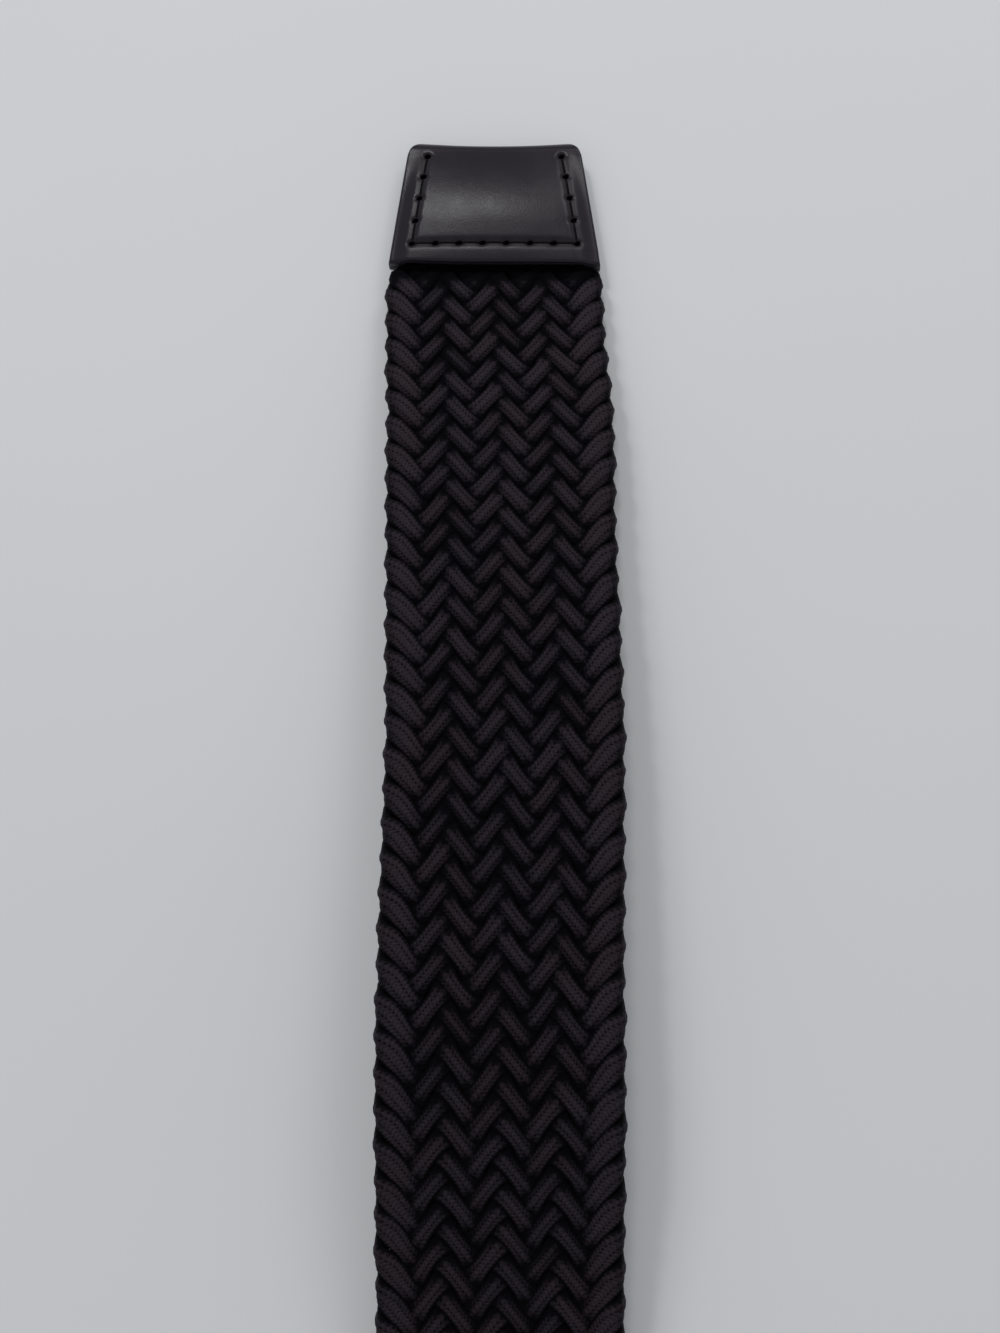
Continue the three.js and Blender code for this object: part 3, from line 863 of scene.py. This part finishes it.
def make_cover(name, cover, columns, rows, cutter=None):
    """Makes a folded leather cover and its stitching."""
    mesh = grid_slab(columns, rows, cover.place)
    if cutter:
        mesh = cut(mesh, cutter)
    leather = cover.leather
    add_piece(name, mesh, "leather", cover.node_name, grain_leather(leather), edge_paint(leather))
    section = [(leather.thread_radius * math.cos(a), -leather.thread_radius * math.sin(a))
               for a in np.arange(8) * math.pi / 4]
    thread = waxed_thread(leather)
    for face, upper in (("top", True), ("under", False)):
        add_piece(f"{name}_stitching_{face}", sweep("thread", cover.thread_path(upper), section),
                  "leather", None, thread)
        # Dark pods of painted shade in the stitch holes
        add_piece(f"{name}_slits_{face}", cover.painted_slit_shade(upper), "leather", None, slit_shade())


def cut(mesh, cutter):
    """Takes a closed cutter out of a closed mesh."""
    whole, tool = link_new("whole", mesh), link_new("tool", cutter)
    step = whole.modifiers.new("cut", "BOOLEAN")
    step.operation = "DIFFERENCE"
    step.solver = "EXACT"
    step.object = tool
    return take_result(whole, tool)


def make_tip(leather):
    """The folded tip: narrower towards its fold, with a domed panel inside a U of stitches."""
    cover = Cover(
        leather, "tip_leather", -1, 27 * MM, fold_height=3.6 * MM, nose=1.6 * MM, full_depth=13 * MM,
        corner=2.7 * MM, hollow=0.45 * MM, crown=0.8 * MM, lip_reach=0.45 * MM, short_left=0.4 * MM,
        bend_share=0.09)
    make_cover("leather_tip", cover, 120, 164)


def make_tab(leather, buckle):
    """The tab at the buckle's end: folded round the hinge bar, with a slot for the prong."""
    cover = Cover(
        leather, "tab_leather", 1, 33.4 * MM, fold_height=5.8 * MM, nose=HINGE_HEIGHT,
        full_depth=5.8 * MM, sewn_from=7 * MM, bend_share=0.05)
    radius = buckle.prong_width / 2 + SLOT_CLEARANCE
    end = cover.fold_y + cover.nose + SLOT_REACH - radius
    slot = bmesh.new()
    bmesh.ops.create_circle(slot, cap_ends=True, segments=32, radius=radius)
    far = [v for v in slot.verts if v.co.y < 1e-9]
    # The cutter reaches well past the leather
    past = 5 * MM
    bmesh.ops.translate(slot, verts=far, vec=(0, cover.fold_y - past - end, 0))
    extrude(slot, (0, 0, 4 * past))
    bmesh.ops.translate(slot, verts=slot.verts, vec=(0, end, -past))
    make_cover("leather_tab", cover, 84, 260, new_mesh("slot", slot))


# Buckle

HINGE_HEIGHT = 2.9 * MM  # of the hinge bar's axis over the surface
HINGE_RADIUS = 1.5 * MM
FRAME_REACH = 40 * MM  # the frame's size along the belt
BAR_ROUNDING = 0.9 * MM
TAB_CLEARANCE = 1.2 * MM  # between the tab's sides and the frame's two ends
SLOT_CLEARANCE = 0.8 * MM  # between the prong's sides and the tab's slot
SLOT_REACH = 9 * MM  # of the slot past the middle of the fold
END_EASING = [(0, 0.84), (0.02, 0.93), (0.05, 0.98)]  # turn in radians and girth at the frame's ends


def rounded_square(width, radius, steps=4):
    """A rounded square, drawn clockwise."""
    points = []
    middle = width / 2 - radius
    for turn, (side_x, side_y) in enumerate(((1, 1), (1, -1), (-1, -1), (-1, 1))):
        for step in range(steps + 1):
            a = (1 - turn - step / steps) * math.pi / 2
            points.append((side_x * middle + radius * math.cos(a),
                           side_y * middle + radius * math.sin(a)))
    return points


def make_buckle(buckle):
    """The frame with a gap in its near side for the tab's fold, the hinge bar across it, and the
    prong that lies on the far bar."""
    finish = gunmetal_plating(buckle)
    low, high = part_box("buckle")
    bar = buckle.bar_width
    far_y, near_y = low.y + bar / 2, low.y + FRAME_REACH - bar / 2
    turn = buckle.corner_radius - bar / 2
    corner_x = high.x - buckle.corner_radius
    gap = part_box("tab_leather")[1].x + TAB_CLEARANCE
    from_gap = math.asin((gap - corner_x) / turn)
    near_arc = [from_gap + angle for angle, _ in END_EASING]
    near_arc += list(np.linspace(from_gap + 0.12, math.pi / 2, 20))
    half = [(corner_x + turn * math.sin(a), near_y - turn * (1 - math.cos(a))) for a in near_arc]
    half += [(corner_x + turn * math.cos(a), far_y + turn * (1 - math.sin(a)))
             for a in np.linspace(0, math.pi / 2, 25)]
    half += [(0, far_y)]
    outline = half + [(-x, y) for x, y in reversed(half[:-1])]
    points = np.array([(x, y, bar / 2) for x, y in outline])
    radii = np.ones(len(points))
    for place, (_, girth) in enumerate(END_EASING):
        radii[place] = radii[-1 - place] = girth
    ring = sweep("frame", points, rounded_square(bar, BAR_ROUNDING), radii=radii)
    add_piece("buckle_frame", ring, "buckle_metal", "buckle", finish)

    hinge = Vector((0, near_y, HINGE_HEIGHT))
    across = Matrix.Translation(hinge) @ Matrix.Rotation(math.pi / 2, 4, "Y")
    rod = bmesh.new()
    bmesh.ops.create_cone(rod, cap_ends=True, segments=28, radius1=HINGE_RADIUS,
                          radius2=HINGE_RADIUS, depth=2 * (gap + 1 * MM), matrix=across)
    add_piece("buckle_bar", new_mesh("rod", rod), "buckle_metal", "buckle", finish)
    add_piece("buckle_prong", prong(buckle, hinge, low.y, bar), "buckle_metal", "buckle", finish)


def prong(buckle, hinge, end_y, bar):
    """The prong: an eye round the hinge bar and a flat blade that lies on the far bar, with all its
    sharp rims rounded."""
    eye = 2.7 * MM
    under, top = bar - 0.02 * MM, bar + 2.1 * MM
    bm = bmesh.new()
    first = bm.verts.new((0, hinge.y, hinge.z + eye))
    turned = bmesh.ops.spin(bm, geom=[first], cent=hinge, axis=(1, 0, 0), angle=-1.5 * math.pi,
                            steps=30, use_merge=False)
    last = [v for v in turned["geom_last"] if isinstance(v, bmesh.types.BMVert)][0]
    side = [(hinge.y - 1.5 * eye, top), (end_y + bar, top), (end_y + 1.2 * MM, top - 0.5 * MM),
            (end_y + 0.5 * MM, under + 1.0 * MM), (end_y + 0.5 * MM, under + 0.2 * MM),
            (end_y + bar, under), (hinge.y - 3 * eye, under), (hinge.y - 1.25 * eye, under - 1.2 * MM)]
    chain = [first] + [bm.verts.new((0, y, z)) for y, z in side] + [last]
    for a, b in zip(chain[:-1], chain[1:]):
        bm.edges.new((a, b))
    bmesh.ops.edgeloop_fill(bm, edges=bm.edges[:])
    bmesh.ops.translate(bm, verts=bm.verts, vec=(-buckle.prong_width / 2, 0, 0))
    extrude(bm, (buckle.prong_width, 0, 0))
    sharp = [e for e in bm.edges if len(e.link_faces) == 2 and e.calc_face_angle() > math.radians(60)]
    bmesh.ops.bevel(bm, geom=sharp, offset=0.35 * MM, offset_type="OFFSET", segments=3, profile=0.5,
                    affect="EDGES", material=-1, clamp_overlap=True)
    return new_mesh("prong", bm)


# Stage

FLOOR_REACH = 3.0  # metres from the floor's middle to its edges
# Name, power against the key power, diameter, place from the middle of the view, and whether it
# shows as a shine
LAMPS = [
    ("key_light", 1.22, 0.19, (-0.60, 0.94, 1.25), True),
    ("low_light", 1.30, 0.42, (-0.78, 0.96, 1.15), False),
    ("side_light", 0.38, 0.36, (0.38, 0.64, 0.62), True),
    ("overhead_light", 0.30, 0.11, (-0.07, 0.44, 0.66), True),
]


def make_stage(stage):
    """A pale floor, two soft lights from the left, one from the right, one overhead, an even fill
    and the camera."""
    bm = bmesh.new()
    bmesh.ops.create_grid(bm, x_segments=8, y_segments=8, size=FLOOR_REACH)
    mesh = new_mesh("floor", bm)
    mesh.materials.append(painted_floor(stage))
    link_new("floor", mesh)

    middle = Vector((0, stage.camera_place, 0))
    for name, power, size, place, shines in LAMPS:
        data = bpy.data.lights.new(name, "AREA")
        data.energy = power * stage.key_power
        data.shape = "DISK"
        data.size = size
        lamp = link_new(name, data)
        lamp.location = middle + Vector(place)
        lamp.rotation_euler = (-Vector(place)).to_track_quat("-Z", "Y").to_euler()
        lamp.visible_glossy = shines

    world = bpy.data.worlds.new("even_light")
    world.use_nodes = True
    background = world.node_tree.nodes["Background"]
    background.inputs["Color"].default_value = (*linear("#fafbff"), 1)
    background.inputs["Strength"].default_value = stage.fill_strength
    bpy.context.scene.world = world
    bpy.context.scene.view_settings.view_transform = "Standard"

    data = bpy.data.cameras.new("camera")
    data.lens = stage.camera_lens
    data.sensor_width = 36
    data.clip_start = 0.01
    camera = link_new("camera", data)
    back = Vector((0, -math.sin(stage.camera_tilt), math.cos(stage.camera_tilt)))
    camera.location = middle + stage.camera_distance * back
    camera.rotation_euler = (stage.camera_tilt, 0, 0)
    bpy.context.scene.camera = camera


# The add-on's operators and panel


class BELT_OT_plait(bpy.types.Operator):
    """Plait the seventeen strands"""

    bl_idname = "belt.plait"
    bl_label = "Plait the strands"

    def execute(self, context):
        make_plait(context.scene.belt_plait)
        return {"FINISHED"}


class BELT_OT_tip(bpy.types.Operator):
    """Fold and stitch the leather tip"""

    bl_idname = "belt.tip"
    bl_label = "Make the leather tip"

    def execute(self, context):
        make_tip(context.scene.belt_leather)
        return {"FINISHED"}


class BELT_OT_tab(bpy.types.Operator):
    """Fold and stitch the leather tab round the buckle's hinge bar"""

    bl_idname = "belt.tab"
    bl_label = "Make the leather tab"

    def execute(self, context):
        make_tab(context.scene.belt_leather, context.scene.belt_buckle)
        return {"FINISHED"}


class BELT_OT_buckle(bpy.types.Operator):
    """Make the buckle's frame, hinge bar and prong"""

    bl_idname = "belt.buckle"
    bl_label = "Make the buckle"

    def execute(self, context):
        make_buckle(context.scene.belt_buckle)
        return {"FINISHED"}


class BELT_OT_stage(bpy.types.Operator):
    """Lay the floor and set the lights and the camera"""

    bl_idname = "belt.stage"
    bl_label = "Set the stage"

    def execute(self, context):
        make_stage(context.scene.belt_stage)
        return {"FINISHED"}


class BELT_PT_sidebar(bpy.types.Panel):
    """Lists the belt's pieces and their settings"""

    bl_idname = "BELT_PT_sidebar"
    bl_label = "Braided belt"
    bl_space_type = "VIEW_3D"
    bl_region_type = "UI"
    bl_category = "Belt"

    def draw(self, context):
        for attribute, operators in PARTS.items():
            box = self.layout.box()
            settings = getattr(context.scene, attribute)
            for name in settings.bl_rna.properties.keys():
                if name not in ("rna_type", "name"):
                    box.prop(settings, name)
            for operator in operators:
                box.operator(operator.bl_idname)


SETTINGS = {
    "belt_plait": PlaitSettings,
    "belt_leather": LeatherSettings,
    "belt_buckle": BuckleSettings,
    "belt_stage": StageSettings,
}
PARTS = {
    "belt_plait": [BELT_OT_plait],
    "belt_leather": [BELT_OT_tip, BELT_OT_tab],
    "belt_buckle": [BELT_OT_buckle],
    "belt_stage": [BELT_OT_stage],
}
CLASSES = [*SETTINGS.values(), *[operator for group in PARTS.values() for operator in group],
           BELT_PT_sidebar]


def register():
    for entry in CLASSES:
        bpy.utils.register_class(entry)
    for attribute, group in SETTINGS.items():
        setattr(bpy.types.Scene, attribute, bpy.props.PointerProperty(type=group))


def unregister():
    for attribute in SETTINGS:
        delattr(bpy.types.Scene, attribute)
    for entry in reversed(CLASSES):
        bpy.utils.unregister_class(entry)


def main():
    register()
    for operators in PARTS.values():
        for operator in operators:
            group, action = operator.bl_idname.split(".")
            getattr(getattr(bpy.ops, group), action)()


if __name__ == "__main__":
    main()
